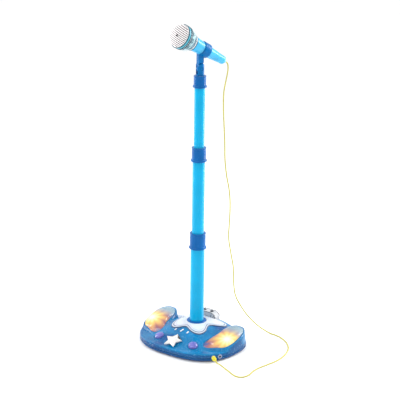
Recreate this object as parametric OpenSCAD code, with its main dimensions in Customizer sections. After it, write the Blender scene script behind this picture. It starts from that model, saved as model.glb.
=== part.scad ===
// Toy stand microphone: a light-up foot base, a three-stage telescopic pole,
// a tilting clip and a hand microphone on a lead that plugs into the base.
// Millimetres. +Z is up, -Y is the front, the origin is on the floor under the pole.

/* [Base] */
// Half of the base's width
base_half_w = 127; // [115:1:140]
// Reach of the base in front of the pole
base_front = 118; // [110:1:125]
// Reach of the base behind the pole
base_back = 66; // [62:1:74]
// Height of the front rim
rim_h = 20; // [18:1:24]
// Height of the plateau round the pole
plateau_h = 47; // [44:1:52]
// Wall thickness of the base shells
shell_t = 2.4; // [2:0.1:3]

/* [Pole] */
// Outer diameter of the lowest tube
tube_d = 33; // [31:0.5:35]
// Wall thickness of every tube
tube_t = 1.8; // [1.4:0.1:2]
// Gap between one tube and the next
tube_gap = 0.4; // [0.3:0.05:0.6]
// Height of the lower collar's bottom edge
lower_collar_z = 231; // [220:1:240]
// Height of the middle collar's bottom edge
middle_collar_z = 441; // [430:1:455]
// Height of the upper collar's bottom edge
upper_collar_z = 613; // [600:1:620]

/* [Clip and microphone] */
// How far the microphone leans up from level
mic_pitch = 29.5; // [10:0.5:45]
// How far the clip is turned on the pole
clip_yaw = 17; // [-45:1:45]
// Height of the middle of the clip's ring
ring_z = 697.5; // [694:0.5:702]
// Distance of the ring's middle behind the pole's axis
ring_back = 10; // [6:0.5:12]
// Radius of the microphone's head
head_r = 27.5; // [25:0.5:30]

/* [Lead] */
// Diameter of the lead
cord_d = 3; // [2.6:0.2:3.4]

/* [Hidden] */

$fn = 64;
slack = 0.3;

// Base
foot_h = 4;
cover_t = 3;
outline_power = 2.6;
outline_step = 6;
plateau_r = 44;
slope_r = 106;
plateau_edge_h = plateau_h - 1.6;
slope_foot_r = slope_r - 5;
slope_foot_h = rim_h + 3.4;
slope_deg = atan2(plateau_edge_h - slope_foot_h, slope_foot_r - plateau_r);
seat_h = foot_h + cover_t;
lamp_at = [98, -12];
lamp_h = 36.4;
lamp_tilt = 12;
lamp_half_w = 25;
lamp_half_l = 45;
lamp_border = 4;
lamp_window = 3;
reflector_at = [101, -27];
star_r = 22;
star_dist = 93;
star_low = 3.4;
button_x = 48;
button_y = -82;
button_r = 11;
button_dist = norm([button_x, button_y]);
button_turn = atan2(button_y, button_x) + 90;
lens_rise = 8;
lens_t = 1.4;
console_y = 47;
console_w = 54;
console_d = 19;
console_top = 59;
switch_x = -10;
music_x = 11;
jack_z = 12;
plug_angle = -38;
aux_angle = -31;
plug_at = outline_point(plug_angle, 0);
plug_turn = outline_turn(plug_angle);
aux_at = outline_point(aux_angle, 0);
aux_turn = outline_turn(aux_angle);
jack_hole_r = 1.8;
battery_r = 7.1;
battery_l = 49;
battery_x = 52;
battery_y = 14;
speaker_at = [-62, 12];

// Pole
lower_r = tube_d / 2;
lower_bore = lower_r - tube_t;
middle_r = lower_bore - tube_gap;
middle_bore = middle_r - tube_t;
upper_r = middle_bore - tube_gap;
upper_bore = upper_r - tube_t;
lower_collar_h = 38;
middle_collar_h = 33;
upper_collar_h = 27;
lower_tube_z = seat_h;
lower_tube_top = lower_collar_z + lower_collar_h - 8;
middle_tube_z = lower_tube_top - 40;
middle_tube_top = middle_collar_z + middle_collar_h - 7;
upper_tube_z = middle_tube_top - 40;
upper_tube_top = upper_collar_z + upper_collar_h - 5;
bush_lip = 4;

// Clip
stem_r = 9.4;
stem_bottom = upper_tube_top - 26;
pivot_z = 656;
pivot_r = 2;
slot_w = 6.4;
tongue_w = 6;
slot_bottom = pivot_z - 12;
cheek_r = 9.4;
cheek_lift = 2;
neck_w = 8.4;
neck_d = 14.5;
neck_bottom = pivot_z + 12.6;

// Microphone, measured along its own axis from the middle of the ring
ring_half = 11;
ring_outer = 16.75;
rim_w = 75;
tail_w = -66;
band_front = rim_w - 6.5;
band_back = rim_w - 9;
taper_start = rim_w - 24;
taper_end = rim_w - 35;
body_front_r = 17.4;
body_tail_r = 10.5;
body_t = 2;
dome_h = 22;
function body_r(w) = body_front_r + (body_tail_r - body_front_r) * (taper_end - w) / (taper_end + 50);

// Lead: its way from the microphone's tail down behind the pole, along the floor and to the plug
cord_lie = cord_d / 2;
CORD_ROUTE = [[21.1, 69, 662.3], [21.8, 71.6, 660.8], [22.9, 75.2, 657.1], [23.4, 76.5, 652],
    [23.2, 76.9, 642], [21.3, 76.9, 630], [18, 76, 612], [15, 74, 588], [15, 74, 550], [17, 75, 510],
    [19, 76, 470], [20, 77, 430], [24, 79, 392], [29, 83, 358], [32, 84, 325], [31, 85, 285],
    [30, 84, 240], [36, 86, 200], [41, 90, 165], [42, 91, 128], [47, 94, 92], [63, 105, 56],
    [83, 116, 29], [104, 126, 11], [126, 132, cord_lie], [152, 128, cord_lie], [180, 112, cord_lie],
    [204, 84, cord_lie], [217, 47, cord_lie], [219, 11, cord_lie], [213, -21, cord_lie],
    [207, -48, cord_lie], [206, -70, cord_lie], [209, -91, cord_lie], [205, -108, cord_lie],
    [193, -115, cord_lie], [177, -111, cord_lie], [160, -102, cord_lie], [145, -97, 3], [134, -97, 7.5],
    [126.8, -99.8, 11.2], [122.9, -96.6, 12], [119.9, -94.2, 12]];
cord_sides = 8;
cord_rings_per_leg = 2;
boot_len = 19;
boot_r = 4.8;

// ---------- shared shapes ----------

// Outline of the base: a rounded half disc in front of a shallower rounded back, drawn in by an inset
function outline_point(a, inset, power = outline_power) =
    let (c = cos(a), s = sin(a),
         half_w = base_half_w - inset,
         deep = (s < 0 ? base_front : base_back) - inset,
         k = pow(pow(abs(c) / half_w, power) + pow(abs(s) / deep, power), -1 / power))
    [k * c, k * s];

// Direction that the outline faces at one of its points
function outline_turn(a, power = outline_power) =
    let (p = outline_point(a, 0), deep = p[1] < 0 ? base_front : base_back)
    atan2(sign(p[1]) * pow(abs(p[1]) / deep, power - 1) / deep,
        sign(p[0]) * pow(abs(p[0]) / base_half_w, power - 1) / base_half_w);

module outline(inset = 0) {
    polygon([for (a = [0 : outline_step : 359]) outline_point(a, inset)]);
}

// Height profile of the deck round the pole: plateau, slope and rim
module deck_profile(drop = 0) {
    polygon([[0, 0], [0, plateau_h + 1.5 - drop], [plateau_r - 8, plateau_h + 0.8 - drop],
        [plateau_r, plateau_edge_h - drop], [slope_foot_r, slope_foot_h - drop],
        [slope_r + 3, rim_h + 0.6 - drop], [180, rim_h - drop], [180, 0]]);
}

function lobe(a, at, size, sharp) = size * pow(max(0, cos(a - at)), sharp);

// Comet-shaped plan of a lamp: a long rounded head with a tail to the front
module comet(grow = 0) {
    translate(lamp_at)
        polygon([for (a = [0 : 6 : 359])
            let (head = pow(pow(abs(cos(a)) / lamp_half_w, 2.6) + pow(abs(sin(a)) / lamp_half_l, 2.6), -1 / 2.6),
                 r = head + grow + lobe(a, -121, 24, 14))
            [r * cos(a), r * sin(a)]]);
}

// Puts a child on the lamp's tilted seat, which is higher at the back
module lamp_seat() {
    translate([lamp_at[0], lamp_at[1], lamp_h]) rotate([lamp_tilt, 0, 0]) children();
}

// Raised platform under a lamp, up to its tilted seat
module lamp_platform(grow, drop = 0) {
    intersection() {
        linear_extrude(80) comet(grow);
        lamp_seat() translate([-100, -100, -120 - drop]) cube([200, 200, 120]);
    }
}

// Dome over the seat, in the lamp's plan
module lamp_dome(grow, drop = 0) {
    swell = [[0, 1], [12, 0.92], [22, 0.7], [32, 0.42], [44, 0.22], [72, 0.2]];
    intersection() {
        linear_extrude(80) comet(grow);
        lamp_seat()
            rotate_extrude()
                polygon(concat([[72, -40], [0, -40]], [for (s = swell) [s[0], lens_rise * s[1] - drop]]));
    }
}

module both_sides() {
    children();
    mirror([1, 0, 0]) children();
}

// Solid of the base, drawn in by an inset and lowered by the same amount
module base_solid(inset = 0) {
    intersection() {
        translate([0, 0, seat_h])
            linear_extrude(plateau_h + 20)
                outline(inset);
        union() {
            rotate_extrude($fn = 96)
                deck_profile(inset);
            both_sides() lamp_platform(lamp_border - inset, inset);
        }
    }
}

// Puts a child on the sloping front deck, its own +Z square to the slope
module on_slope(dist, turn) {
    rotate([0, 0, turn])
        translate([0, -dist, plateau_edge_h - (dist - plateau_r) * tan(slope_deg)])
            rotate([slope_deg, 0, 0])
                children();
}

module ring(outer, inner, h) {
    difference() {
        cylinder(h = h, r = outer);
        translate([0, 0, -1]) cylinder(h = h + 2, r = inner);
    }
}

// Coil spring between two heights, as a round wire swept in short straight links
module coil_spring(r, wire, h, turns) {
    steps = turns * 12;
    pts = [for (i = [0 : steps]) let (a = i * 30)
        [r * cos(a), r * sin(a), wire + (h - 2 * wire) * i / steps]];
    swept_tube(pts, wire, 6);
}

function unit(v) = v / norm(v);
function tangent(p, i) =
    unit(p[min(i + 1, len(p) - 1)] - p[max(i - 1, 0)]);

// Frame that does not spin: each ring's side vector is the last one's, made square to the new direction
function side_vectors(p, i = 0, last = [1, 0, 0], out = []) =
    i == len(p) ? out :
    let (t = tangent(p, i), s = unit(last - (last * t) * t))
    side_vectors(p, i + 1, s, concat(out, [s]));

module swept_tube(p, r, sides) {
    n = len(p);
    sv = side_vectors(p);
    pts = [for (i = [0 : n - 1])
        let (t = tangent(p, i), s = sv[i], u = cross(t, s))
        for (k = [0 : sides - 1])
            p[i] + r * (cos(360 * k / sides) * s + sin(360 * k / sides) * u)];
    walls = [for (i = [0 : n - 2]) for (k = [0 : sides - 1])
        let (a = i * sides + k, b = i * sides + (k + 1) % sides)
        [a, a + sides, b + sides, b]];
    polyhedron(pts, concat([[for (k = [0 : sides - 1]) k]], walls,
        [[for (k = [sides - 1 : -1 : 0]) (n - 1) * sides + k]]));
}

// Smooth curve through the route's points, kept on or above the floor
function spline_at(p, i, f) =
    let (a = p[max(i - 1, 0)], b = p[i], c = p[i + 1], d = p[min(i + 2, len(p) - 1)])
    0.5 * (2 * b + (c - a) * f + (2 * a - 5 * b + 4 * c - d) * f * f
        + (3 * b - a - 3 * c + d) * f * f * f);
function smooth_route(p, per_leg) =
    concat([for (i = [0 : len(p) - 2]) for (j = [0 : per_leg - 1])
        let (q = spline_at(p, i, j / per_leg)) [q[0], q[1], max(q[2], cord_lie)]],
        [p[len(p) - 1]]);

// ---------- base ----------

module base_top_shell() {
    color("royalblue")
    difference() {
        union() {
            difference() {
                base_solid();
                base_solid(shell_t);
                translate([0, 0, seat_h - 1])
                    linear_extrude(1 + shell_t)
                        outline(shell_t);
            }
            for (a = [-18, 18]) front_pilaster(a);
            intersection() {
                base_solid(shell_t / 2);
                for (p = screw_points)
                    translate([p[0], p[1], seat_h]) cylinder(h = 60, r = 3.4);
            }
        }
        cylinder(h = 80, r = lower_r + 3);
        both_sides() {
            linear_extrude(80) comet(-lamp_window);
            difference() {
                linear_extrude(80) comet(slack);
                lamp_platform(lamp_border);
            }
        }
        on_slope(star_dist, 0)
            translate([0, 0, -8]) cylinder(h = 20, r = 7.2);
        for (side = [-1, 1])
            on_slope(button_dist, side * button_turn)
                translate([0, 0, -8]) cylinder(h = 20, r = button_r + slack);
        jack_hole(plug_at, plug_turn);
        jack_hole(aux_at, aux_turn);
        translate([0, console_y, 20]) cylinder(h = 60, r = 5);
        for (p = screw_points)
            translate([p[0], p[1], seat_h - 1]) cylinder(h = 9, r = 1.2);
    }
}

// Upright rib on the front wall
module front_pilaster(a) {
    p = outline_point(a - 90, 0);
    translate([p[0], p[1], seat_h])
        rotate([0, 0, a * 0.6])
            translate([-6, -1.4, 0]) cube([12, 3, rim_h - seat_h - 2]);
}

screw_points = [[-76, -80], [76, -80], [-32, -98], [32, -98], [-52, 44], [52, 44]];

module jack_hole(at, turn) {
    translate([at[0], at[1], jack_z])
        rotate([0, 90, turn])
            translate([0, 0, -9]) cylinder(h = 14, r = 3.6);
}

module base_bottom_cover() {
    color("navy")
    difference() {
        union() {
            translate([0, 0, foot_h])
                linear_extrude(cover_t)
                    outline(1);
            cylinder(h = foot_h + 1, r = 15);
            translate([0, 0, seat_h]) ring(lower_r + 2.6, lower_r, 26);
            translate([battery_x - 32, battery_y - 19, seat_h]) cube([64, 38, 3]);
            for (x = [-30, 30]) for (y = [-62, -34])
                translate([x, y, seat_h]) {
                    cylinder(h = 4, r = 2.6);
                    cylinder(h = 6, r = 1.5);
                }
        }
        translate([battery_x - 29, battery_y - 16, foot_h - 1]) cube([58, 32, 12]);
        for (i = [-3 : 3])
            translate([speaker_at[0] + i * 5 - 1.2, speaker_at[1] - 14, foot_h - 1]) cube([2.4, 28, cover_t + 2]);
        for (p = screw_points)
            translate([p[0], p[1], foot_h - 1]) cylinder(h = cover_t + 2, r = 1.7);
        for (p = foot_points)
            translate([p[0], p[1], foot_h - 1]) cylinder(h = 2.5, r = 5);
    }
}

foot_points = [[-100, -42], [100, -42], [-56, -88], [56, -88], [-100, 20], [100, 20], [0, -104], [0, 50]];

module rubber_feet() {
    color("dimgray")
    for (p = foot_points)
        translate([p[0], p[1], 0]) {
            cylinder(h = foot_h, r = 7);
            cylinder(h = foot_h + 1.4, r = 4.8);
        }
}

module case_screws() {
    color("silver")
    for (p = screw_points)
        translate([p[0], p[1], foot_h - 1.8]) {
            difference() {
                cylinder(h = 1.8, r = 2.8);
                translate([-0.4, -2, -1]) cube([0.8, 4, 1.8]);
            }
            cylinder(h = 12, r = 1.2);
        }
}

module socket_ring() {
    color("mediumblue")
    translate([0, 0, plateau_h - 6])
        rotate_extrude()
            polygon([[lower_r, 0], [lower_r + 2.8, 0], [lower_r + 2.8, 7.6], [lower_r + 6.5, 7.6],
                [lower_r + 6.5, 9.2], [lower_r + 5, 11.4], [lower_r + 2.4, 12.2], [lower_r, 12.2]]);
}

module splash_outline() {
    polygon([for (a = [0 : 5 : 359])
        let (r = 40 + lobe(a, -50, 22, 10) + lobe(a, -130, 22, 10)
            + lobe(a, 36, 32, 12) + lobe(a, 144, 32, 12))
        [r * cos(a), r * sin(a)]]);
}

module splash_plate() {
    color("whitesmoke")
    difference() {
        intersection() {
            linear_extrude(80) splash_outline();
            difference() {
                translate([0, 0, 2.2])
                    rotate_extrude($fn = 96) deck_profile();
                translate([0, 0, 0.15])
                    rotate_extrude($fn = 96) deck_profile();
            }
        }
        cylinder(h = 80, r = lower_r + 6.8);
        translate([-console_w / 2 - 0.3, console_y - console_d / 2 - 0.3, 0]) cube([console_w + 0.6, 40, 80]);
    }
}

module trail_marks() {
    color("white")
    for (m = [[-20, 59, 6], [-3, 55, 10], [14, 57, 7]])
        on_slope(m[1], m[0])
            rotate([0, 0, -18])
                translate([-1.4, -m[2] / 2, 0.1]) cube([2.8, m[2], 1.2]);
}

module star_pedal() {
    star_pts = [for (i = [0 : 9])
        let (a = 90 + i * 36, d = i % 2 == 0 ? star_r : star_r * 0.52)
        [d * cos(a), d * sin(a), 0]];
    thick = 2.8;
    rise = 3.4;
    color("white")
    on_slope(star_dist, 0) {
        polyhedron(
            concat([for (p = star_pts) [p[0], p[1], star_low]],
                [for (p = star_pts) [p[0], p[1], star_low + thick]], [[0, 0, star_low + thick + rise]]),
            concat([[for (i = [0 : 9]) i]],
                [for (i = [0 : 9]) [i, i + 10, (i + 1) % 10 + 10, (i + 1) % 10]],
                [for (i = [0 : 9]) [i + 10, 20, (i + 1) % 10 + 10]]));
        translate([0, 0, -4.5]) cylinder(h = star_low + 4.5, r = 6.9);
        translate([0, 0, -5.7]) cylinder(h = 1.2, r = 8.6);
    }
}

module star_spring() {
    color("silver")
    on_slope(star_dist, 0)
        translate([0, 0, -11.1]) coil_spring(5.2, 0.45, 5.3, 3);
}

module foot_button(side) {
    on_slope(button_dist, side * button_turn) {
        rotate_extrude()
            polygon([[0, -3.4], [button_r, -3.4], [button_r, 2.4], [button_r - 0.9, 4.2],
                [button_r - 3.4, 5.6], [button_r - 7, 6.3], [0, 6.5]]);
        translate([0, 0, -4.4]) cylinder(h = 1, r = button_r + 1.3);
    }
}

module left_button() {
    color("mediumpurple") foot_button(-1);
}

module right_button() {
    color("mediumpurple") foot_button(1);
}

module foot_spring(side) {
    on_slope(button_dist, side * button_turn)
        translate([0, 0, -8.5]) coil_spring(4.8, 0.4, 4, 3);
}

module left_button_spring() {
    color("silver") foot_spring(-1);
}

module right_button_spring() {
    color("silver") foot_spring(1);
}

// Push switches on stalks, one under the pedal and each button
module foot_switches() {
    color("darkslategray") {
        switch_stalk(star_dist, 0, -9.8, 10);
        for (side = [-1, 1])
            switch_stalk(button_dist, side * button_turn, -7.6, 10);
    }
}

module switch_stalk(dist, turn, plunger_z, stalk) {
    on_slope(dist, turn) {
        translate([0, 0, plunger_z - 1.4]) cylinder(h = 1.4, r = 2.4);
        translate([-3, -3, plunger_z - 3.2]) cube([6, 6, 1.8]);
    }
    intersection() {
        on_slope(dist, turn)
            translate([0, 0, plunger_z - 3.2 - stalk]) cylinder(h = stalk + 1, r = 2);
        translate([-150, -150, seat_h]) cube([300, 300, 60]);
    }
}

// Domed clear cover, resting on the lamp's border
module lamp_lens() {
    difference() {
        lamp_dome(0);
        lamp_dome(-lens_t, lens_t);
        lamp_platform(lamp_border, -0.1);
    }
}

module left_lamp_lens() {
    color("lightyellow", 0.6) mirror([1, 0, 0]) lamp_lens();
}

module right_lamp_lens() {
    color("lightyellow", 0.6) lamp_lens();
}

module reflector() {
    translate([reflector_at[0], reflector_at[1], 0])
        rotate_extrude()
            polygon([[3.4, 14], [9, 14], [17, 27], [17, 28.6], [16, 28.6], [8.4, 15.4], [3.4, 15.4]]);
}

module left_reflector() {
    color("gold") mirror([1, 0, 0]) reflector();
}

module right_reflector() {
    color("gold") reflector();
}

module lamp_leds() {
    both_sides()
        translate([reflector_at[0], reflector_at[1], seat_h]) {
            color("darkgreen") translate([-9, -9, 0]) cube([18, 18, 1.6]);
            color("white") translate([0, 0, 1.6]) cylinder(h = 8, r = 2.5);
            color("white") translate([0, 0, 9.6]) sphere(r = 2.5);
        }
}

module main_board() {
    color("darkgreen")
    difference() {
        translate([-34, -66, 11]) cube([68, 36, 1.6]);
        for (x = [-30, 30]) for (y = [-62, -34])
            translate([x, y, 10]) cylinder(h = 4, r = 1.6);
    }
}

module board_parts() {
    translate([0, 0, 12.6]) {
        color("black") translate([-26, -56, 0]) cube([14, 10, 1.8]);
        for (x = [-2, 8]) color("navy") translate([x, -40, 0]) cylinder(h = 8, r = 3);
        for (x = [16 : 5 : 26]) color("tan") translate([x, -44, 0]) cube([2.4, 8, 2.2]);
    }
}

module speaker() {
    translate([speaker_at[0], speaker_at[1], seat_h + 0.2]) {
        color("dimgray")
        rotate_extrude()
            polygon([[14, 0], [20, 0], [20, 2], [14, 7], [8.2, 7], [8.2, 5.8], [12, 5.8], [14, 2]]);
        color("silver") translate([0, 0, 7]) cylinder(h = 5, r = 9);
    }
}

module batteries() {
    for (i = [-1, 1]) {
        color("goldenrod")
        translate([battery_x - battery_l / 2, battery_y + i * 7.4, seat_h + battery_r - 0.8])
            rotate([0, 90, 0]) {
                cylinder(h = battery_l, r = battery_r);
                translate([0, 0, battery_l]) cylinder(h = 1.2, r = 2.6);
            }
    }
}

module battery_contacts() {
    color("silver")
    for (x = [battery_x - battery_l / 2 - 2, battery_x + battery_l / 2 + 1.6])
        translate([x, battery_y - 13, seat_h + 1]) cube([0.8, 26, 10]);
}

module battery_door() {
    color("navy")
    difference() {
        translate([battery_x - 28.7, battery_y - 15.7, foot_h]) cube([57.4, 31.4, 2]);
        translate([battery_x + 25, battery_y, foot_h - 1]) cylinder(h = 4, r = 1.4);
    }
}

module battery_door_screw() {
    color("silver")
    translate([battery_x + 25, battery_y, foot_h - 1.4]) {
        cylinder(h = 1.4, r = 2.4);
        cylinder(h = 4.2, r = 1.2);
    }
}

module control_console() {
    color("gainsboro")
    difference() {
        translate([0, console_y, 0])
            rotate([90, 0, 0])
                translate([0, 0, -console_d / 2])
                    linear_extrude(console_d)
                        polygon([[-console_w / 2, 34], [-console_w / 2, 50], [-console_w / 2 + 6, console_top - 2],
                            [-console_w / 2 + 12, console_top], [console_w / 2 - 12, console_top],
                            [console_w / 2 - 6, console_top - 2], [console_w / 2, 50], [console_w / 2, 34]]);
        translate([0, 0, 0.15]) rotate_extrude($fn = 96) deck_profile();
        cylinder(h = 90, r = lower_r + 7);
        translate([switch_x - 5.5, console_y - 2.5, console_top - 3]) cube([11, 5, 4]);
        translate([music_x, console_y, console_top - 5]) cylinder(h = 6, r = 4.3);
    }
}

module power_switch() {
    color("dimgray")
    translate([switch_x - 2.2, console_y - 2.2, console_top - 2.8]) {
        cube([4.4, 4.4, 5]);
    }
}

module music_button() {
    color("dimgray")
    translate([music_x, console_y, console_top - 3])
        rotate_extrude()
            polygon([[0, 0], [4, 0], [4, 4.2], [3.4, 4.9], [0, 5.1]]);
}

// Socket with a square body inside the wall and a round nose in the wall's hole
module jack_socket(at, turn) {
    translate([at[0], at[1], jack_z])
        rotate([0, 90, turn])
            difference() {
                union() {
                    translate([0, 0, -4.6]) cylinder(h = 4.6, r = 3.4);
                    translate([-4.4, -4.4, -17]) cube([8.8, 8.8, 12.4]);
                }
                translate([0, 0, -15]) cylinder(h = 16, r = jack_hole_r);
            }
}

module mic_jack() {
    color("black") jack_socket(plug_at, plug_turn);
}

module aux_jack() {
    color("black") jack_socket(aux_at, aux_turn);
}

module jack_bezels() {
    color("white")
    for (j = [[plug_at, plug_turn], [aux_at, aux_turn]])
        translate([j[0][0], j[0][1], jack_z])
            rotate([0, 90, j[1]])
                rotate_extrude()
                    polygon([[2.3, 0.25], [5.2, 0.25], [5.2, 0.9], [4.6, 1.5], [2.7, 1.5], [2.3, 1.1]]);
}

// ---------- pole ----------

module lower_tube() {
    color("deepskyblue")
    translate([0, 0, lower_tube_z]) ring(lower_r, lower_bore, lower_tube_top - lower_tube_z);
}

module middle_tube() {
    color("deepskyblue")
    translate([0, 0, middle_tube_z]) ring(middle_r, middle_bore, middle_tube_top - middle_tube_z);
}

module upper_tube() {
    color("deepskyblue")
    translate([0, 0, upper_tube_z]) ring(upper_r, upper_bore, upper_tube_top - upper_tube_z);
}

// Collar that grips one tube and guides the next: a drum with a flared foot and a thin top rim
module collar(z, h, grip, grip_h, guide, wall) {
    outer = grip + wall;
    translate([0, 0, z])
        rotate_extrude()
            polygon([[grip, 0], [outer + 1.2, 0], [outer + 2.1, 1], [outer + 2.1, 3.2], [outer + 1.3, 4.4],
                [outer, 5.6], [outer, h - 2.4], [outer + 0.4, h - 1.8], [outer + 0.4, h - 0.5],
                [outer - 0.2, h], [guide, h], [guide, grip_h], [grip, grip_h]]);
}

module lower_collar() {
    color("mediumblue")
    collar(lower_collar_z, lower_collar_h, lower_r, lower_tube_top - lower_collar_z, middle_r + slack, 2);
}

module middle_collar() {
    color("mediumblue")
    collar(middle_collar_z, middle_collar_h, middle_r, middle_tube_top - middle_collar_z, upper_r + slack, 2);
}

module upper_collar() {
    color("mediumblue")
    collar(upper_collar_z, upper_collar_h, upper_r, upper_tube_top - upper_collar_z, stem_r + 0.2, 1.8);
}

// Plug with a lip, pressed into the foot of a sliding tube
module tube_bush(z, bore, outside) {
    translate([0, 0, z - bush_lip])
        rotate_extrude()
            polygon([[bore - 3, 0], [outside - 0.1, 0], [outside - 0.1, bush_lip], [bore, bush_lip],
                [bore, bush_lip + 12], [bore - 3, bush_lip + 12]]);
}

module middle_bush() {
    color("white") tube_bush(middle_tube_z, middle_bore, lower_bore);
}

module upper_bush() {
    color("white") tube_bush(upper_tube_z, upper_bore, middle_bore);
}

// ---------- clip ----------

module clip_frame() {
    rotate([0, 0, -clip_yaw]) children();
}

module clip_stem() {
    color("mediumblue")
    clip_frame()
    difference() {
        union() {
            translate([0, 0, stem_bottom]) cylinder(h = upper_tube_top - stem_bottom - 0.2, r = upper_bore - 0.15);
            intersection() {
                translate([0, 0, stem_bottom]) cylinder(h = 100, r = stem_r);
                union() {
                    translate([-20, -20, stem_bottom]) cube([40, 40, pivot_z + cheek_lift - stem_bottom]);
                    translate([-20, 0, pivot_z + cheek_lift])
                        rotate([0, 90, 0]) cylinder(h = 40, r = cheek_r);
                }
            }
        }
        translate([-slot_w / 2, -20, slot_bottom]) cube([slot_w, 40, 40]);
        translate([-20, 0, pivot_z]) rotate([0, 90, 0]) cylinder(h = 40, r = pivot_r);
        translate([stem_r - 2.4, 0, pivot_z]) rotate([0, 90, 0]) cylinder(h = 10, r = 4);
        translate([-stem_r - 8, 0, pivot_z]) rotate([0, 90, 0]) cylinder(h = 10.4, r = 4);
    }
}

module mic_frame() {
    clip_frame()
    translate([0, ring_back, ring_z])
        rotate([90 - mic_pitch, 0, 0])
            children();
}

module clip_holder() {
    color("mediumblue")
    difference() {
        union() {
            mic_frame()
                rotate_extrude()
                    polygon([[0, -ring_half], [ring_outer - 1.6, -ring_half], [ring_outer, -ring_half + 1.6],
                        [ring_outer, ring_half - 1.6], [ring_outer - 1.6, ring_half], [0, ring_half]]);
            clip_frame() {
                translate([-tongue_w / 2, 0, pivot_z])
                    rotate([0, 90, 0]) cylinder(h = tongue_w, r = 8.6);
                translate([-tongue_w / 2, -6.5, pivot_z]) cube([tongue_w, 13, neck_bottom - pivot_z + 2]);
                translate([-neck_w / 2, -neck_d / 2, neck_bottom])
                    cube([neck_w, neck_d, ring_z - neck_bottom - 6]);
            }
        }
        mic_frame()
            translate([0, 0, -ring_half - 6])
                cylinder(h = 2 * ring_half + 30, r1 = body_r(-ring_half - 6) + slack / 2,
                    r2 = body_r(ring_half + 24) + slack / 2);
        clip_frame()
            translate([-20, 0, pivot_z]) rotate([0, 90, 0]) cylinder(h = 40, r = pivot_r + 0.06);
    }
}

module clip_screw() {
    color("silver")
    clip_frame()
    translate([0, 0, pivot_z])
        rotate([0, 90, 0])
            difference() {
                union() {
                    translate([0, 0, -9]) cylinder(h = 17.2, r = pivot_r - 0.02);
                    translate([0, 0, stem_r - 2.4]) cylinder(h = 2, r = 3.7);
                }
                translate([-3, -0.4, stem_r - 1.1]) cube([6, 0.8, 2]);
            }
}

module clip_nut() {
    color("silver")
    clip_frame()
    translate([-stem_r + 0.2, 0, pivot_z])
        rotate([0, 90, 0])
            difference() {
                cylinder(h = 2.1, r = 3.7, $fn = 6);
                translate([0, 0, -1]) cylinder(h = 5, r = pivot_r);
            }
}

// ---------- microphone ----------

module mic_body() {
    color("deepskyblue")
    mic_frame()
    rotate_extrude()
        polygon([[2.6, tail_w], [body_tail_r - 5, tail_w], [body_tail_r - 1.8, tail_w + 1.8],
            [body_tail_r - 0.3, tail_w + 5.4], [body_r(-56), -56], [body_front_r, taper_end],
            [body_front_r - body_t, taper_end], [body_r(-56) - body_t, -56],
            [body_tail_r - 3, tail_w + 6], [2.6, tail_w + 6]]);
}

// Clear tapering band behind the head
module mic_band() {
    color("lightcyan")
    mic_frame()
    rotate_extrude()
        polygon([[body_front_r + 1.4, taper_end + 2.6], [22, taper_end + 4.6], [25.4, taper_end + 8.2],
            [26.9, taper_start + 2.4], [26.9, band_back], [24.9, band_back], [24.9, taper_start + 3],
            [23.6, taper_end + 9.4], [20.6, taper_end + 6.4], [body_front_r - 1, taper_end + 4.6],
            [body_front_r - 1, taper_end], [body_front_r + 0.2, taper_end],
            [body_front_r + 0.2, taper_end + 2.6]]);
}

// Printed sleeve with raised blocks, seen through the band
module band_inserts() {
    color("cadetblue")
    mic_frame() {
        translate([0, 0, taper_start]) ring(22.2, 21, 14.5);
        for (k = [0 : 7])
            rotate([0, 0, k * 45])
                translate([21.9, -5.5, taper_start + 3.5]) cube([1.9, 11, 10]);
    }
}

module mic_rings() {
    color("white")
    mic_frame() {
        translate([0, 0, taper_end + 0.1])
            rotate_extrude()
                polygon([[body_front_r + 0.4, 0], [body_front_r + 1.5, 0.3], [body_front_r + 1.9, 1.2],
                    [body_front_r + 1.5, 2.3], [body_front_r + 0.4, 2.4]]);
        translate([0, 0, band_back + 0.1])
            rotate_extrude()
                polygon([[25, 0], [head_r - 0.3, 0], [head_r, 1.2], [head_r - 0.3, 2.3], [25, 2.3]]);
    }
}

module mic_head_ring() {
    color("teal")
    mic_frame()
    rotate_extrude()
        polygon([[24.4, band_front], [head_r - 0.6, band_front], [head_r, band_front + 1.4],
            [head_r, rim_w - 1.6], [head_r - 1, rim_w], [24.4, rim_w]]);
}

// Perforated dome
module mic_grille() {
    color("silver")
    mic_frame()
    rotate_extrude()
        polygon(concat(
            [for (a = [0 : 10 : 90]) [(head_r - 1.2) * cos(a), rim_w + 0.1 + dome_h * sin(a)]],
            [for (a = [90 : -10 : 0]) [(head_r - 2.4) * cos(a), rim_w + 0.1 + (dome_h - 1.2) * sin(a)]]));
}

module mic_foam() {
    color("lightpink")
    mic_frame()
    rotate_extrude()
        polygon(concat(
            [for (a = [0 : 15 : 90]) [(head_r - 2.8) * cos(a), rim_w + 0.2 + (dome_h - 1.6) * sin(a)]],
            [for (a = [90 : -15 : 0]) [(head_r - 6) * cos(a), rim_w + 0.2 + (dome_h - 5) * sin(a)]]));
}

module mic_capsule() {
    color("dimgray")
    mic_frame()
    translate([0, 0, rim_w + 1]) {
        cylinder(h = 6, r = 4.8);
        translate([0, 0, 6]) cylinder(h = 0.6, r = 4.2);
    }
}

module capsule_holder() {
    color("whitesmoke")
    mic_frame()
    rotate_extrude()
        polygon([[5, rim_w - 3], [24.2, rim_w - 3], [24.2, rim_w - 1], [7, rim_w - 1], [7, rim_w + 5],
            [5, rim_w + 5]]);
}

module mic_gland() {
    color("deepskyblue")
    mic_frame()
    rotate_extrude()
        polygon([[1.6, tail_w - 5.5], [2.2, tail_w - 5.5], [2.5, tail_w - 0.1], [2.5, tail_w + 6.1],
            [4.4, tail_w + 6.1], [4.4, tail_w + 8], [1.6, tail_w + 8]]);
}

// ---------- lead and plug ----------

module mic_cord() {
    color("gold")
    swept_tube(smooth_route(CORD_ROUTE, cord_rings_per_leg), cord_d / 2, cord_sides);
}

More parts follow.
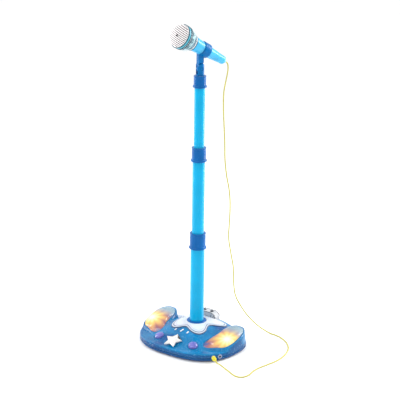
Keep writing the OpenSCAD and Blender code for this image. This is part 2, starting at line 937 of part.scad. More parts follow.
module plug_frame() {
    translate([plug_at[0], plug_at[1], jack_z])
        rotate([0, 90, plug_turn])
            children();
}

module plug_boot() {
    color("gold")
    plug_frame()
    rotate_extrude()
        polygon([[0, 1.7], [boot_r - 0.6, 1.7], [boot_r, 2.4], [boot_r, 11], [boot_r - 0.6, 13.5],
            [boot_r - 2, boot_len - 2], [2.2, boot_len], [0, boot_len]]);
}

module plug_pin() {
    color("silver")
    plug_frame()
    translate([0, 0, -12]) {
        cylinder(h = 13.7, r = jack_hole_r - 0.08);
    }
}

base_top_shell();
base_bottom_cover();
rubber_feet();
case_screws();
socket_ring();
splash_plate();
trail_marks();
star_pedal();
star_spring();
left_button();
right_button();
left_button_spring();
right_button_spring();
foot_switches();
left_lamp_lens();
right_lamp_lens();
left_reflector();
right_reflector();
lamp_leds();
main_board();
board_parts();
speaker();
batteries();
battery_contacts();
battery_door();
battery_door_screw();
control_console();
power_switch();
music_button();
mic_jack();
aux_jack();
jack_bezels();
lower_tube();
lower_collar();
middle_tube();
middle_collar();
middle_bush();
upper_tube();
upper_collar();
upper_bush();
clip_stem();
clip_holder();
clip_screw();
clip_nut();
mic_body();
mic_band();
band_inserts();
mic_rings();
mic_head_ring();
mic_grille();
mic_foam();
mic_capsule();
capsule_holder();
mic_gland();
mic_cord();
plug_boot();
plug_pin();
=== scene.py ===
import math

import bpy
import bmesh
import numpy as np
from mathutils import Matrix, Vector


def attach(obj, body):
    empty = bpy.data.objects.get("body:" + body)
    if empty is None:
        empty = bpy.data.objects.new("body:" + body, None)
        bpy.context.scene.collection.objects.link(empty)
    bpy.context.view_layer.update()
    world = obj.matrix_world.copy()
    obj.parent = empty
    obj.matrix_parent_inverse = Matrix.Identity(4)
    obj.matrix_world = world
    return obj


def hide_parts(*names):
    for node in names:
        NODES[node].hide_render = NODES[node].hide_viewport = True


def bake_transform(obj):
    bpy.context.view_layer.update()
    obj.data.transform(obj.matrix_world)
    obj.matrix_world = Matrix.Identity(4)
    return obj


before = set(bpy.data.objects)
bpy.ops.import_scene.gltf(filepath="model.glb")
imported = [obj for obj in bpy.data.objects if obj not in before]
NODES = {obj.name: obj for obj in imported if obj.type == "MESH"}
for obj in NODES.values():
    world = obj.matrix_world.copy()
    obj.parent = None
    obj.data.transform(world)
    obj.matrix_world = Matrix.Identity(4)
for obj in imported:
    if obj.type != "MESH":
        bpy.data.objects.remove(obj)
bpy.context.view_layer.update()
MM = 0.001
ROW = bpy.context.scene.collection


# ---------- camera ----------

CAMERA_PLACE = Vector((1.72073, -2.45746, 1.33))
CAMERA_AIM = Vector((0.00324, 0.00226, 0.34798))
CAMERA_ROLL = 0.8
CAMERA_LENS = 123.84


def make_camera():
    """Camera in front of the object and to its right, looking down on it."""
    look = (CAMERA_AIM - CAMERA_PLACE).normalized()
    side = look.cross(Vector((0, 0, 1))).normalized()
    up = side.cross(look)
    roll = math.radians(CAMERA_ROLL)
    x_axis = side * math.cos(roll) + up * math.sin(roll)
    y_axis = up * math.cos(roll) - side * math.sin(roll)
    matrix = Matrix((x_axis, y_axis, -look)).transposed().to_4x4()
    matrix.translation = CAMERA_PLACE
    camera = bpy.data.objects.new("camera", bpy.data.cameras.new("camera"))
    ROW.objects.link(camera)
    camera.matrix_world = matrix
    camera.data.lens = CAMERA_LENS
    camera.data.clip_end = 100
    bpy.context.scene.camera = camera


make_camera()


# ---------- materials ----------

PLASTIC_PITS = 1400
LAMP_CENTRE = (0.108, -0.031, 0.038)


class Shader:
    """One material: a single Principled node fed by small noise networks in object space."""

    def __init__(self, name):
        self.material = bpy.data.materials.new(name)
        self.material.use_nodes = True
        self.tree = self.material.node_tree
        self.body = self.tree.nodes["Principled BSDF"]
        self.place = self.node("ShaderNodeTexCoord").outputs["Object"]

    def node(self, kind, **values):
        made = self.tree.nodes.new(kind)
        for key, value in values.items():
            setattr(made, key, value)
        return made

    def link(self, source, target):
        self.tree.links.new(source, target)

    def noise(self, scale, detail=3.0, rough=0.55, squeeze=None):
        made = self.node("ShaderNodeTexNoise")
        made.inputs["Scale"].default_value = scale
        made.inputs["Detail"].default_value = detail
        made.inputs["Roughness"].default_value = rough
        source = self.place
        if squeeze:
            mapping = self.node("ShaderNodeMapping")
            mapping.inputs["Scale"].default_value = squeeze
            self.link(source, mapping.inputs["Vector"])
            source = mapping.outputs["Vector"]
        self.link(source, made.inputs["Vector"])
        return made.outputs["Fac"]

    def ramp(self, value, stops):
        made = self.node("ShaderNodeValToRGB")
        stuff = made.color_ramp.elements
        while len(stuff) < len(stops):
            stuff.new(0.5)
        for item, (at, color) in zip(stuff, stops):
            item.position = at
            item.color = tuple(color) + (1.0,)
        self.link(value, made.inputs["Fac"])
        return made.outputs["Color"]

    def cells(self, scale, **values):
        made = self.node("ShaderNodeTexVoronoi", **values)
        made.inputs["Scale"].default_value = scale
        self.link(self.place, made.inputs["Vector"])
        return made

    def split(self, color):
        made = self.node("ShaderNodeSeparateColor")
        self.link(color, made.inputs[0])
        return made

    def axes(self, vector):
        made = self.node("ShaderNodeSeparateXYZ")
        self.link(vector, made.inputs[0])
        return made

    def from_point(self, operation, point):
        made = self.node("ShaderNodeVectorMath", operation=operation)
        self.link(self.place, made.inputs[0])
        made.inputs[1].default_value = point
        return made

    def spread(self, value, low, high, source=(0.3, 0.7)):
        made = self.node("ShaderNodeMapRange")
        made.inputs["From Min"].default_value = source[0]
        made.inputs["From Max"].default_value = source[1]
        made.inputs["To Min"].default_value = low
        made.inputs["To Max"].default_value = high
        self.link(value, made.inputs["Value"])
        return made.outputs["Result"]

    def mix(self, factor, first, second):
        made = self.node("ShaderNodeMix", data_type="RGBA")
        self.link(factor, made.inputs[0])
        for socket, value in ((made.inputs[6], first), (made.inputs[7], second)):
            if isinstance(value, tuple):
                socket.default_value = value + (1.0,)
            else:
                self.link(value, socket)
        return made.outputs[2]

    def maths(self, kind, first, second=None):
        made = self.node("ShaderNodeMath", operation=kind)
        for socket, value in ((made.inputs[0], first), (made.inputs[1], second)):
            if value is None:
                continue
            if isinstance(value, (int, float)):
                socket.default_value = value
            else:
                self.link(value, socket)
        return made.outputs[0]

    def relief(self, height, strength, depth, rounding):
        bump = self.node("ShaderNodeBump")
        bump.inputs["Strength"].default_value = strength
        bump.inputs["Distance"].default_value = depth
        self.link(height, bump.inputs["Height"])
        if rounding:
            soft = self.node("ShaderNodeBevel", samples=4)
            soft.inputs["Radius"].default_value = rounding
            self.link(soft.outputs["Normal"], bump.inputs["Normal"])
        self.link(bump.outputs["Normal"], self.body.inputs["Normal"])

    def set(self, **values):
        for key, value in values.items():
            socket = self.body.inputs[key.replace("_", " ")]
            if isinstance(value, tuple):
                socket.default_value = value + (1.0,)
            elif isinstance(value, (int, float)):
                socket.default_value = value
            else:
                self.link(value, socket)


def shade(color, by):
    """A colour made lighter or darker."""
    return tuple(min(1.0, max(0.0, c * by)) for c in color)


def plastic(name, color, rough=0.22, spread=0.1, grain=45, pit=0.12, coat=0.0, rounding=0.0004,
            alpha=1.0, gloss=0.22, haze=0.0):
    """Moulded plastic: cloudy colour, patchy gloss and fine pits."""
    s = Shader(name)
    tone = s.noise(grain, 4)
    s.set(Base_Color=s.ramp(tone, [(0.3, shade(color, 1 - spread)), (0.7, shade(color, 1 + spread))]))
    s.set(Roughness=s.spread(s.noise(grain * 3.1, 5), rough * 0.72, rough * 1.35))
    s.relief(s.noise(PLASTIC_PITS, 2), pit, 0.0001, rounding)
    s.set(Coat_Weight=coat, Coat_Roughness=0.06, Alpha=alpha, Specular_IOR_Level=gloss)
    s.set(Sheen_Weight=haze, Sheen_Roughness=0.3)
    return s.material


def glitter_blue(name, color, deep):
    """Glossy blue moulding filled with fine bright flecks of two sizes, with painted shade darkening its walls
    and underside.
    """
    s = Shader(name)
    tone = s.ramp(s.noise(22, 4), [(0.34, deep), (0.5, color), (0.66, shade(color, 1.28))])
    # painted shade: the wall attribute marks the wall and underside, which are mixed towards a darker blue than
    # the deck
    wall = s.node("ShaderNodeAttribute", attribute_name="wall")
    tone = s.mix(s.maths("MULTIPLY", wall.outputs["Fac"], 0.8), tone, shade(deep, 0.8))
    fine = s.cells(900)
    coarse = s.cells(430)
    fine_tint = s.split(fine.outputs["Color"])
    coarse_tint = s.split(coarse.outputs["Color"])
    small = s.maths("GREATER_THAN", fine_tint.outputs[0], 0.90)
    large = s.maths("GREATER_THAN", coarse_tint.outputs[1], 0.965)
    small_core = s.maths("LESS_THAN", fine.outputs["Distance"], 0.42)
    large_core = s.maths("LESS_THAN", coarse.outputs["Distance"], 0.33)
    small_fleck = s.maths("MULTIPLY", small, small_core)
    fleck = s.maths("MAXIMUM", small_fleck, s.maths("MULTIPLY", large, large_core))
    shine = s.mix(fine_tint.outputs[2], (0.03, 0.34, 0.70), (0.40, 0.70, 0.88))
    s.set(Base_Color=s.mix(s.maths("MULTIPLY", fleck, 0.7), tone, shine))
    s.set(Roughness=s.spread(s.noise(160, 4), 0.14, 0.30))
    height = s.maths("ADD", s.noise(900, 2), s.maths("MULTIPLY", fine_tint.outputs[1], 0.35))
    s.relief(height, 0.10, 0.00012, 0.0006)
    s.set(Coat_Weight=0.1, Coat_Roughness=0.05, Specular_IOR_Level=0.22)
    return s.material


def lamp_cover(name, side):
    """Clear dome lit from inside: white at the lamp, then yellow, orange and rose towards the tail; the same
    glow is painted darker into its colour, and painted grey-teal reflection covers the clear rear.
    """
    s = Shader(name)
    lamp = (side * LAMP_CENTRE[0], LAMP_CENTRE[1], LAMP_CENTRE[2])
    away = s.from_point("DISTANCE", lamp).outputs["Value"]
    offset = s.axes(s.from_point("SUBTRACT", lamp).outputs["Vector"])
    angle = s.maths("ARCTAN2", offset.outputs["Y"], offset.outputs["X"])
    petal = s.maths("ABSOLUTE", s.maths("SINE", s.maths("MULTIPLY", angle, 5.0)))
    stretch = s.spread(petal, 1.22, 0.88, (0.0, 1.0))
    reach = s.maths("DIVIDE", s.maths("MULTIPLY", away, stretch), 0.062)
    glow = s.ramp(reach, [(0.05, (1.0, 0.96, 0.78)), (0.20, (0.95, 0.74, 0.26)),
                          (0.36, (0.82, 0.54, 0.16)), (0.52, (0.60, 0.28, 0.15)),
                          (0.70, (0.32, 0.12, 0.14)), (0.94, (0.10, 0.11, 0.27))])
    # painted light: the lamp's glow again, darker, put into the base colour
    painted_glow_tint = s.ramp(reach, [(0.05, (0.55, 0.52, 0.42)), (0.34, (0.40, 0.28, 0.09)),
                         (0.68, (0.20, 0.08, 0.09)), (0.94, (0.06, 0.08, 0.18))])
    rear = s.spread(s.axes(s.place).outputs["Y"], 0.0, 1.0, (-0.014, 0.012))
    # painted reflection: grey-teal clouds on the clear rear of the cover
    clear = s.ramp(s.noise(60, 4), [(0.3, (0.30, 0.46, 0.56)), (0.7, (0.56, 0.68, 0.72))])
    s.set(Base_Color=s.mix(rear, painted_glow_tint, clear))
    # the glow stands for the lamp inside; the faint teal glow at the rear is painted light
    s.set(Emission_Color=s.mix(rear, glow, (0.02, 0.05, 0.08)), Emission_Strength=0.72)
    s.set(Roughness=s.spread(s.noise(130, 4), 0.05, 0.13))
    s.set(Alpha=s.spread(rear, 0.80, 0.46, (0.0, 1.0)))
    s.relief(s.cells(210, feature="SMOOTH_F1").outputs["Distance"], 0.16, 0.0006, 0)
    s.set(Coat_Weight=0.25, Coat_Roughness=0.03, Specular_IOR_Level=0.3)
    return s.material


def splash_print(name):
    """Pearl white plate with printed lines that follow its edge."""
    s = Shader(name)
    edge = s.node("ShaderNodeAttribute", attribute_name="edge")
    wave = s.maths("ADD", edge.outputs["Fac"], s.maths("MULTIPLY", s.noise(55, 2), 0.08))
    lines = s.ramp(wave, [(0.0, (0.06, 0.10, 0.19)), (0.12, (0.06, 0.10, 0.19)),
                          (0.17, (0.64, 0.70, 0.74)), (0.32, (0.68, 0.73, 0.77)),
                          (0.37, (0.10, 0.13, 0.23)), (0.50, (0.12, 0.16, 0.27)),
                          (0.55, (0.74, 0.77, 0.80)), (0.76, (0.70, 0.72, 0.80)),
                          (0.82, (0.30, 0.32, 0.50)), (0.90, (0.72, 0.76, 0.78))])
    pearl = s.ramp(s.noise(38, 4), [(0.25, (0.62, 0.80, 0.86)), (0.45, (0.86, 0.90, 0.93)),
                                    (0.60, (0.90, 0.86, 0.90)), (0.78, (0.78, 0.86, 0.92))])
    made = s.node("ShaderNodeMix", data_type="RGBA", blend_type="MULTIPLY")
    made.inputs[0].default_value = 1.0
    s.link(lines, made.inputs[6])
    s.link(pearl, made.inputs[7])
    s.set(Base_Color=made.outputs[2], Roughness=s.spread(s.noise(120, 4), 0.14, 0.32))
    s.relief(s.noise(700, 3), 0.1, 0.0001, 0.0005)
    s.set(Coat_Weight=0.2, Coat_Roughness=0.06, Specular_IOR_Level=0.3)
    return s.material


def star_white(name):
    """Warm white plastic with faint rosy clouds."""
    s = Shader(name)
    tone = s.ramp(s.noise(46, 3), [(0.3, (0.60, 0.60, 0.60)), (0.5, (0.70, 0.68, 0.66)),
                                   (0.72, (0.68, 0.58, 0.54))])
    s.set(Base_Color=tone, Roughness=s.spread(s.noise(110, 4), 0.16, 0.34))
    s.relief(s.noise(800, 2), 0.08, 0.0001, 0.0007)
    s.set(Coat_Weight=0.3, Coat_Roughness=0.05)
    return s.material


def foam(name):
    """Dark, slightly mottled open foam."""
    s = Shader(name)
    blotch = s.ramp(s.noise(95, 4), [(0.36, (0.05, 0.03, 0.04)), (0.46, (0.22, 0.09, 0.10)),
                                     (0.54, (0.14, 0.11, 0.08)), (0.64, (0.04, 0.10, 0.08)),
                                     (0.74, (0.26, 0.09, 0.05))])
    s.set(Base_Color=blotch, Roughness=s.spread(s.noise(300, 3), 0.78, 0.96))
    s.relief(s.cells(700).outputs["Distance"], 0.7, 0.0008, 0)
    return s.material


def metal(name, color, rough=0.28):
    """Drawn metal, its marks longer along X and Y than along Z."""
    s = Shader(name)
    s.set(Base_Color=s.ramp(s.noise(240, 4), [(0.3, shade(color, 0.86)), (0.7, shade(color, 1.08))]))
    s.set(Roughness=s.spread(s.noise(420, 3, squeeze=(1, 1, 8)), rough * 0.7, rough * 1.4), Metallic=1.0)
    s.relief(s.noise(1500, 2, squeeze=(1, 1, 10)), 0.15, 0.00006, 0.0002)
    return s.material


def rubber(name, color, rough=0.5):
    """Soft plastic or rubber with a fine rough skin."""
    s = Shader(name)
    s.set(Base_Color=s.ramp(s.noise(120, 4), [(0.3, shade(color, 0.9)), (0.7, shade(color, 1.08))]))
    s.set(Roughness=s.spread(s.noise(260, 4), rough * 0.75, rough * 1.3))
    s.relief(s.noise(1600, 3), 0.25, 0.00012, 0.0003)
    return s.material


def lit(material, color, strength):
    """Let a one-shader material glow evenly."""
    body = material.node_tree.nodes["Principled BSDF"]
    body.inputs["Emission Color"].default_value = color + (1.0,)
    body.inputs["Emission Strength"].default_value = strength
    return material


SKY = (0.0, 0.36, 0.64)
ROYAL = (0.0, 0.10, 0.34)
WHITE = (0.78, 0.79, 0.81)
MATS = {
    "glitter": glitter_blue("glitter_blue", (0.001, 0.150, 0.350), (0.001, 0.062, 0.235)),
    "tube": plastic("tube_sky", SKY, 0.20, 0.07, 30, 0.06, gloss=0.2, haze=0.55),
    "royal": plastic("collar_royal", ROYAL, 0.22, 0.14, 36, 0.10, gloss=0.16, haze=0.25),
    "clip": plastic("clip_royal", (0.0, 0.13, 0.38), 0.24, 0.12, 40, 0.10, rounding=0.0007, gloss=0.14),
    "cover": plastic("cover_navy", (0.010, 0.075, 0.26), 0.55, 0.16, 80, 0.35),
    "white": plastic("gloss_white", WHITE, 0.24, 0.04, 60, 0.08, coat=0.3),
    "console": plastic("console_silver", (0.52, 0.53, 0.55), 0.28, 0.08, 70, 0.14, rounding=0.0009),
    "dark": plastic("dark_grey", (0.06, 0.065, 0.08), 0.45, 0.2, 120, 0.3),
    "black": plastic("jack_black", (0.012, 0.012, 0.014), 0.42, 0.25, 120, 0.3),
    "violet": plastic("button_violet", (0.13, 0.13, 0.46), 0.12, 0.35, 170, 0.05, coat=0.9, haze=0.3),
    "star": star_white("star_white"),
    "splash": splash_print("splash_print"),
    "feet": rubber("foot_rubber", (0.035, 0.05, 0.085), 0.7),
    "steel": metal("zinc_steel", (0.70, 0.70, 0.72)),
    "nickel": metal("nickel", (0.80, 0.79, 0.76), 0.16),
    # painted light: the gold reflector glows as if lit by the lamp's LED
    "gold": lit(metal("reflector_gold_painted_glow", (0.98, 0.80, 0.34), 0.14), (1.0, 0.72, 0.22), 0.5),
    "board": plastic("board_green", (0.01, 0.16, 0.05), 0.4, 0.2, 200, 0.2),
    "nylon": plastic("nylon", (0.80, 0.80, 0.78), 0.42, 0.06, 90, 0.2),
    "battery": plastic("battery_wrap", (0.55, 0.36, 0.08), 0.3, 0.12, 90, 0.1),
    "cord": rubber("cord_yellow", (0.50, 0.44, 0.07), 0.5),
    "boot": rubber("boot_yellow", (0.72, 0.62, 0.02), 0.36),
    "mic": plastic("mic_sky", (0.05, 0.42, 0.72), 0.16, 0.16, 40, 0.05, coat=0.25),
    "band": plastic("band_clear", (0.55, 0.74, 0.80), 0.08, 0.08, 60, 0.05, coat=0.2, alpha=0.15),
    "insert": plastic("insert_teal", (0.02, 0.12, 0.17), 0.4, 0.3, 130, 0.2),
    "sleeve": plastic("sleeve_pale", (0.42, 0.66, 0.70), 0.35, 0.12, 90, 0.15),
    "headring": plastic("head_ring_teal", (0.10, 0.44, 0.56), 0.16, 0.14, 60, 0.06, coat=0.3),
    "trim": plastic("trim_teal", (0.003, 0.07, 0.11), 0.3, 0.14, 60, 0.06),
    "bezel": plastic("bezel_lilac", (0.26, 0.30, 0.44), 0.24, 0.08, 60, 0.08),
    "grille": plastic("grille_pearl", (0.90, 0.88, 0.89), 0.24, 0.05, 160, 0.12),
    "foam": foam("head_foam"),
    "lens_left": lamp_cover("lamp_cover_left", -1),
    "lens_right": lamp_cover("lamp_cover_right", 1),
    "led": lit(plastic("led_clear", (0.95, 0.92, 0.78), 0.1, 0.04, 200, 0.05), (1.0, 0.86, 0.5), 3.0),
}


# ---------- mesh helpers ----------

def raw_mesh(name, verts, faces, matrix=None, weld=False):
    """Mesh from vertices in millimetres, faces outward, turned into metres and moved by matrix."""
    mesh = bpy.data.meshes.new(name)
    mesh.from_pydata([tuple(v) for v in verts], [], [tuple(f) for f in faces])
    fix = bmesh.new()
    fix.from_mesh(mesh)
    if weld:
        bmesh.ops.remove_doubles(fix, verts=fix.verts, dist=1e-4)
        bmesh.ops.dissolve_degenerate(fix, edges=fix.edges, dist=1e-5)
    bmesh.ops.recalc_face_normals(fix, faces=fix.faces)
    fix.to_mesh(mesh)
    fix.free()
    to_metres = Matrix.Diagonal((MM, MM, MM, 1))
    mesh.transform(to_metres if matrix is None else matrix @ to_metres)
    return mesh


def new_object(name, mesh):
    obj = bpy.data.objects.new(name, mesh)
    ROW.objects.link(obj)
    return obj


def piece(name, verts, faces, material, body, nodes=(), slot=None, matrix=None, sharp=38):
    """A new piece: verts in millimetres, faces by index, riding on a body and standing for CAD nodes."""
    obj = new_object(name, raw_mesh(name, verts, faces, matrix, weld=True))
    finish_piece(obj, material, body, nodes, sharp)
    return obj


def finish_piece(obj, material, body, nodes, sharp=38):
    obj.data.materials.clear()
    obj.data.materials.append(MATS[material])
    obj.data.shade_smooth()
    obj.data.set_sharp_from_angle(angle=math.radians(sharp))
    if body:
        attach(obj, body)
    if nodes:
        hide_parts(*nodes)


def fillet(profile, reach, steps=3):
    """Closed profile with its corners rounded by short curves."""
    out = []
    n = len(profile)
    for i in range(n):
        p = np.array(profile[i], float)
        a = np.array(profile[i - 1], float) - p
        b = np.array(profile[(i + 1) % n], float) - p
        la, lb = np.linalg.norm(a), np.linalg.norm(b)
        if p[0] < 1e-6 or la < 1e-6 or lb < 1e-6:
            out.append(tuple(p))
            continue
        cut_a, cut_b = min(reach, la * 0.45), min(reach, lb * 0.45)
        start, end = p + a / la * cut_a, p + b / lb * cut_b
        for k in range(steps + 1):
            f = k / steps
            out.append(tuple((1 - f) ** 2 * start + 2 * f * (1 - f) * p + f * f * end))
    return out


def revolve(profile, turns=96, wave=None):
    """Verts and faces of a closed profile turned about the Z axis."""
    n = len(profile)
    verts = []
    for j in range(turns):
        a = 2 * math.pi * j / turns
        for i, (r, z) in enumerate(profile):
            dr, dz = wave(a, r, z) if wave else (0.0, 0.0)
            verts.append(((r + dr) * math.cos(a), (r + dr) * math.sin(a), z + dz))
    faces = []
    for j in range(turns):
        k = (j + 1) % turns
        for i in range(n):
            m = (i + 1) % n
            faces.append((j * n + i, j * n + m, k * n + m, k * n + i))
    return verts, faces


def lathe(name, profile, material, body, nodes=(), matrix=None, reach=0.5, turns=96, slot=None, wave=None):
    """A piece turned from a closed profile of (radius, height) with its corners rounded by reach."""
    verts, faces = revolve(fillet(profile, reach), turns, wave)
    return piece(name, verts, faces, material, body, nodes, slot, matrix)


def loop_grid(rows):
    """Verts and faces of a grid of rows that closes on itself both ways."""
    count = len(rows[0])
    verts = np.concatenate(rows)
    faces = []
    total = len(rows)
    for i in range(total):
        a, b = i * count, ((i + 1) % total) * count
        for j in range(count):
            k = (j + 1) % count
            faces.append((a + j, b + j, b + k, a + k))
    return verts, faces


def sweep(points, radius, sides=12, frames=None):
    """Verts and faces of a capped round tube along points, without twist."""
    pts = np.array(points, float)
    side, up = frames if frames is not None else carry(pts)
    a = np.linspace(0, 2 * math.pi, sides, endpoint=False)
    across = np.cos(a)[None, :, None] * side[:, None, :]
    along = np.sin(a)[None, :, None] * up[:, None, :]
    verts = (pts[:, None, :] + radius * (across + along)).reshape(-1, 3)
    faces = []
    for i in range(len(pts) - 1):
        for k in range(sides):
            m = (k + 1) % sides
            faces.append((i * sides + k, i * sides + m, (i + 1) * sides + m, (i + 1) * sides + k))
    faces.append(tuple(range(sides)))
    faces.append(tuple((len(pts) - 1) * sides + k for k in range(sides)))
    return verts, faces


def carry(pts):
    """Two directions square to the line at each point, carried along it without twist."""
    tangent = np.gradient(pts, axis=0)
    tangent /= np.linalg.norm(tangent, axis=1)[:, None]
    last = np.array([1.0, 0.0, 0.0])
    if abs(tangent[0] @ last) > 0.9:
        last = np.array([0.0, 1.0, 0.0])
    side = []
    for t in tangent:
        last = last - (last @ t) * t
        last /= np.linalg.norm(last)
        side.append(last)
    side = np.array(side)
    return side, np.cross(tangent, side)


def merge(parts):
    """Several (verts, faces) pairs as one."""
    verts, faces, base = [], [], 0
    for part_verts, part_faces in parts:
        verts.extend([tuple(p) for p in part_verts])
        faces.extend([tuple(i + base for i in face) for face in part_faces])
        base += len(part_verts)
    return verts, faces


def cutter(verts, faces, matrix=None):
    """A closed shape for carve, which removes it again."""
    return new_object("cutter", raw_mesh("cutter", verts, faces, matrix))


def prism(outline_points, low, high):
    """Verts and faces of an outline in X and Y, drawn straight up from low to high."""
    n = len(outline_points)
    verts = [(x, y, low) for x, y in outline_points] + [(x, y, high) for x, y in outline_points]
    faces = [tuple(range(n)), tuple(range(2 * n - 1, n - 1, -1))]
    faces += [(i, (i + 1) % n, (i + 1) % n + n, i + n) for i in range(n)]
    return verts, faces


def circle(r, n=64):
    return [(r * math.cos(2 * math.pi * i / n), r * math.sin(2 * math.pi * i / n)) for i in range(n)]


def carve(obj, cutters):
    """Cut closed shapes out of a closed piece."""
    for tool in cutters:
        cut = obj.modifiers.new("cut", "BOOLEAN")
        cut.operation = "DIFFERENCE"
        cut.solver = "MANIFOLD"
        cut.object = tool
    view = bpy.context.evaluated_depsgraph_get()
    made = bpy.data.meshes.new_from_object(obj.evaluated_get(view))
    obj.modifiers.clear()
    obj.data = made
    for tool in cutters:
        bpy.data.objects.remove(tool)


def turn(axis, degrees):
    return Matrix.Rotation(math.radians(degrees), 4, axis)


def shift(x, y, z):
    return Matrix.Translation((x * MM, y * MM, z * MM))


# ---------- lead ----------

CORD_R = 1.5
PLUG_STRETCH = 46
LEAD_JOINTS_Z = (605, 540, 400, 240)
ROUTE = [
    (21.1, 69, 662.3), (21.8, 71.6, 660.8), (22.9, 75.2, 657.1), (23.4, 76.5, 652), (23.2, 76.9, 642),
    (21.3, 76.9, 630), (18, 76, 612), (15, 74, 588), (15, 74, 550), (17, 75, 510), (19, 76, 470),
    (20, 77, 430), (24, 79, 392), (29, 83, 358), (32, 84, 325), (31, 85, 285), (30, 84, 240),
    (36, 86, 200), (41, 90, 165), (42, 91, 128), (47, 94, 92), (63, 105, 56), (83, 116, 29),
    (104, 126, 11), (126, 132, 1.5), (152, 128, 1.5), (180, 112, 1.5), (204, 84, 1.5), (217, 47, 1.5),
    (219, 11, 1.5), (213, -21, 1.5), (207, -48, 1.5), (206, -70, 1.5), (209, -91, 1.5),
    (205, -108, 1.5), (193, -115, 1.5), (177, -111, 1.5), (160, -102, 1.5), (145, -97, 3),
    (134, -97, 7.5), (126.8, -99.8, 11.2), (122.9, -96.6, 12), (119.9, -94.2, 12),
]


def smooth_route(points, per_leg=8):
    """Points of one smooth curve through the route, kept on or above the floor."""
    p = np.array(points, float)
    out = []
    for i in range(len(p) - 1):
        a, b, c, d = p[max(i - 1, 0)], p[i], p[i + 1], p[min(i + 2, len(p) - 1)]
        for j in range(per_leg):
            f = j / per_leg
            out.append(0.5 * (2 * b + (c - a) * f + (2 * a - 5 * b + 4 * c - d) * f * f
                              + (3 * b - a - 3 * c + d) * f ** 3))
    out.append(p[-1])
    out = np.array(out)
    out[:, 2] = np.maximum(out[:, 2], CORD_R + 0.02)
    return out


def make_lead(boot):
    """The lead as pieces that meet end to end, cut where it crosses each joint; the stretch on the floor rides
    on the base.
    """
    line = smooth_route(ROUTE)
    side, up = carry(line)
    step = np.linalg.norm(np.diff(line, axis=0), axis=1)
    to_end = np.concatenate([np.cumsum(step[::-1])[::-1], [0]])
    joints = [int(np.argmax(line[:, 2] < z)) for z in LEAD_JOINTS_Z]
    start_floor = int(np.argmax(line[:, 2] < CORD_R + 0.05))
    start_plug = int(np.argmax(to_end < PLUG_STRETCH))
    cuts = [0] + joints + [start_floor, start_plug, len(line) - 1]
    spans = [
        ("lead_microphone", "microphone", "clip_holder"), ("lead_tilt", "clip_holder", "clip_stem"),
        ("lead_swivel", "clip_stem", "upper_section"), ("lead_upper", "upper_section", "middle_section"),
        ("lead_lower", "middle_section", "base"), ("lead_floor", "base", None), ("lead_plug", "base", "plug"),
    ]
    for (name, first, second), a, b in zip(spans, cuts, cuts[1:]):
        pts = line[a:b + 1]
        verts, faces = sweep(pts, CORD_R, 16, (side[a:b + 1], up[a:b + 1]))
        obj = piece(name, verts, faces, "cord", None, sharp=60)
        if second:
            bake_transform(obj)
        else:
            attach(obj, first)
        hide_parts("mic_cord")


# ---------- base: measures ----------

HALF_W, FRONT, BACK, POWER = 127.0, 118.0, 66.0, 2.6
SLOPE_TOP, SLOPE_FOOT = (44.0, 45.4), (101.0, 23.4)
DECK_R = np.array([0.0, 36, SLOPE_TOP[0], SLOPE_FOOT[0], 109, 180])
DECK_Z = np.array([48.5, 47.8, SLOPE_TOP[1], SLOPE_FOOT[1], 20.6, 20.0])
SLOPE = math.degrees(math.atan2(SLOPE_TOP[1] - SLOPE_FOOT[1], SLOPE_FOOT[0] - SLOPE_TOP[0]))
LAMP = (98.0, -12.0)
LAMP_H, LAMP_TILT = 36.4, 12.0
LAMP_HALF_W, LAMP_HALF_L = 25, 45
LENS_RISE, LENS_SPAN, LENS_EDGE, LENS_WALL = 8.4, 47.0, 1.3, 1.6
REFLECTOR_AT = (101, -27)
TAIL_REACH, TAIL_TURN = 24, 121
SHELL = 2.4
EDGE_ROUND = 3.2
HUB_R = 19.5
PART_LINE_Z = 10.6
SPLASH_BORE = 23.4
SPLASH_LIFT = 2.25
FLOOR_H = 7.0
PLUG_A, AUX_A = -38.0, -31.0
JACK_Z = 12.0
LOWER_R, MIDDLE_R, UPPER_R = 16.5, 14.3, 12.1
STAR_DIST = 93.0
STAR_WELL_R, STAR_HOLE_R = 21.5, 7.3
BUTTON_RING_R, BUTTON_HOLE_R = 14.8, 11.4
JACK_HOLE_R = 3.7
BUTTON = (48.0, -82.0)
BUTTON_DIST = math.hypot(*BUTTON)
BUTTON_TURN = math.degrees(math.atan2(BUTTON[1], BUTTON[0])) + 90


def outline(angle):
    """Points of the base's outline, in millimetres, for an array of angles in radians."""
    c, s = np.cos(angle), np.sin(angle)
    deep = np.where(s < 0, FRONT, BACK)
    k = ((np.abs(c) / HALF_W) ** POWER + (np.abs(s) / deep) ** POWER) ** (-1 / POWER)
    return np.stack([k * c, k * s], axis=-1)


def facing(angle):
    """Direction, in radians, that the base's wall faces at an angle from the middle."""
    p = outline(np.array(angle))
    deep = np.where(p[..., 1] < 0, FRONT, BACK)
    return np.arctan2(np.sign(p[..., 1]) * (np.abs(p[..., 1]) / deep) ** (POWER - 1) / deep,
                      np.sign(p[..., 0]) * (np.abs(p[..., 0]) / HALF_W) ** (POWER - 1) / HALF_W)


def deck(r):
    """Height of the deck at a distance from the pole, its corners rounded by averaging."""
    return sum(np.interp(r + d, DECK_R, DECK_Z) for d in (-3, -1.5, 0, 1.5, 3)) / 5


def comet_r(a, grow=0.0):
    """Outline of a lamp from its middle: a rounded oval with a tail, grown or shrunk all round."""
    head = ((np.abs(np.cos(a)) / LAMP_HALF_W) ** 2.6 + (np.abs(np.sin(a)) / LAMP_HALF_L) ** 2.6) ** (-1 / 2.6)
    return head + grow + TAIL_REACH * np.maximum(0, np.cos(a + math.radians(TAIL_TURN))) ** 14


def seat(y):
    """Height of the tilted lamp seats."""
    return LAMP_H + (y - LAMP[1]) * math.tan(math.radians(LAMP_TILT))


def ease(x, a, b):
    """Smooth step from 0 at a to 1 at b."""
    t = np.clip((x - a) / (b - a), 0, 1)
    return t * t * (3 - 2 * t)


